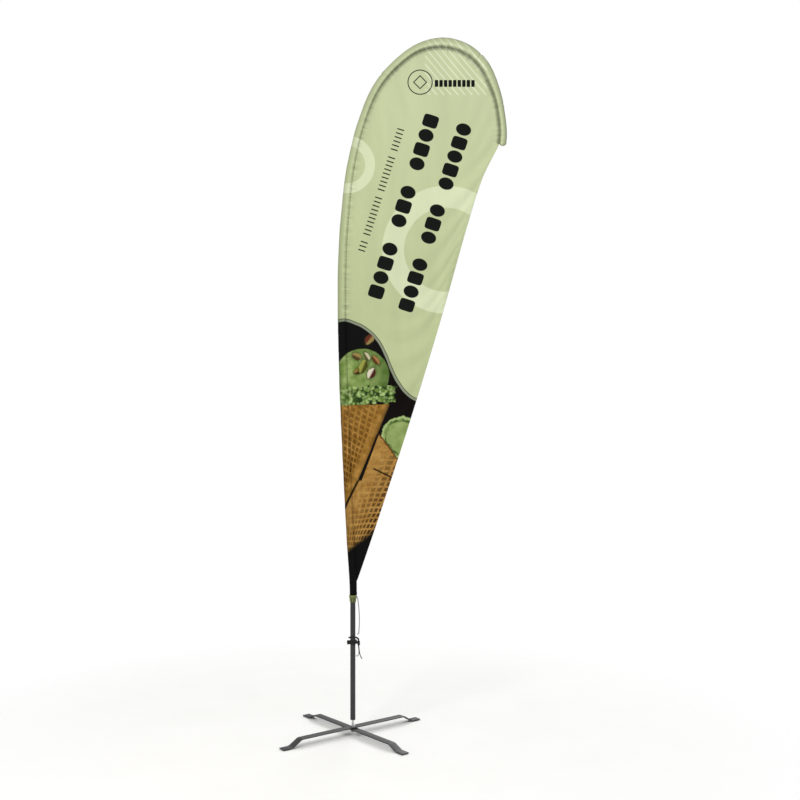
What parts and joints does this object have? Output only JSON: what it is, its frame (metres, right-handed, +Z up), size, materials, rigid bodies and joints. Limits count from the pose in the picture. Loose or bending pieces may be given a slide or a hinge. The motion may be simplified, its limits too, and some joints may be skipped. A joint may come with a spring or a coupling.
{
  "type": "teardrop flag",
  "caption": "Tall teardrop fabric flag on a bowed sectional pole that turns on the spindle of a folding flat-bar cross base.",
  "frame": {"origin": "on the floor, on the axis of the spindle that the pole turns on, 10 mm below the end of the centre stud", "axes": "+Z up along the spindle; the flag lies in the XZ plane with its free edge towards +X, and its printed front faces -Y"},
  "size_m": [1.0847, 0.6666, 3.3985],
  "materials": {
    "graphite_paint": "powder-coated flat steel bar, dark graphite, satin",
    "black_rubber": "moulded rubber, matte",
    "black_nylon": "turned nylon, satin",
    "zinc_steel": "zinc-plated steel",
    "plated_steel": "bright plated steel",
    "anodised_tube": "dark grey anodised aluminium tube, satin",
    "fibreglass_rod": "pultruded fibreglass, black, satin",
    "printed_knit": "warp-knit polyester, dye-printed sage green with a dark lower part",
    "green_webbing": "woven polyester binding, yellow-green",
    "grey_elastic": "braided elastic cord, light grey",
    "grey_nylon": "moulded nylon hook, grey",
    "black_elastic": "braided elastic cord, black"
  },
  "bodies": {
    "base": {"lower_bar": "graphite_paint", "foot_pad_front_right": "black_rubber", "foot_pad_back_left": "black_rubber", "bar_spacer": "black_nylon", "lower_washer": "zinc_steel", "lock_nut": "zinc_steel", "spindle_pin": "plated_steel"},
    "folding_bar": {"upper_bar": "graphite_paint", "foot_pad_front_left": "black_rubber", "foot_pad_back_right": "black_rubber"},
    "rotator": {"thrust_bearing": "zinc_steel", "rotator_barrel": "black_nylon", "retaining_ring": "zinc_steel"},
    "pole_and_flag": {"pole_lower": "anodised_tube", "pole_second": "anodised_tube", "pole_third": "fibreglass_rod", "pole_whip": "fibreglass_rod", "pole_plug": "black_nylon", "stop_ring_lower": "black_nylon", "stop_ring_upper": "black_nylon", "whip_ferrule": "zinc_steel", "tip_cap": "black_rubber", "pole_sleeve": "printed_knit", "tip_pocket": "printed_knit", "flag_panel": "printed_knit", "edge_hem": "printed_knit", "sleeve_cuff": "green_webbing", "flag_cord": "grey_elastic", "cord_hook": "grey_nylon"},
    "tie": {"tie_band": "black_elastic", "tie_strand": "black_elastic", "tie_knot_left": "black_elastic", "tie_knot_right": "black_elastic", "tie_tail": "black_elastic", "tie_loop": "black_elastic"}
  },
  "joints": [
    {"name": "bar_fold", "type": "hinge", "parent": "base", "child": "folding_bar", "pos_m": [0, 0, 0.036], "axis": [0, 0, 1], "range_deg": [0, 82]},
    {"name": "pole_turn", "type": "hinge", "parent": "base", "child": "rotator", "pos_m": [0, 0, 0.13], "axis": [0, 0, 1], "continuous": true},
    {"name": "pole_lift", "type": "slide", "parent": "rotator", "child": "pole_and_flag", "axis": [0, 0, 1], "range_m": [0, 0.13]},
    {"name": "tie_slide", "type": "slide", "parent": "pole_and_flag", "child": "tie", "axis": [0, 0, 1], "range_m": [-0.26, 0]}
  ]
}
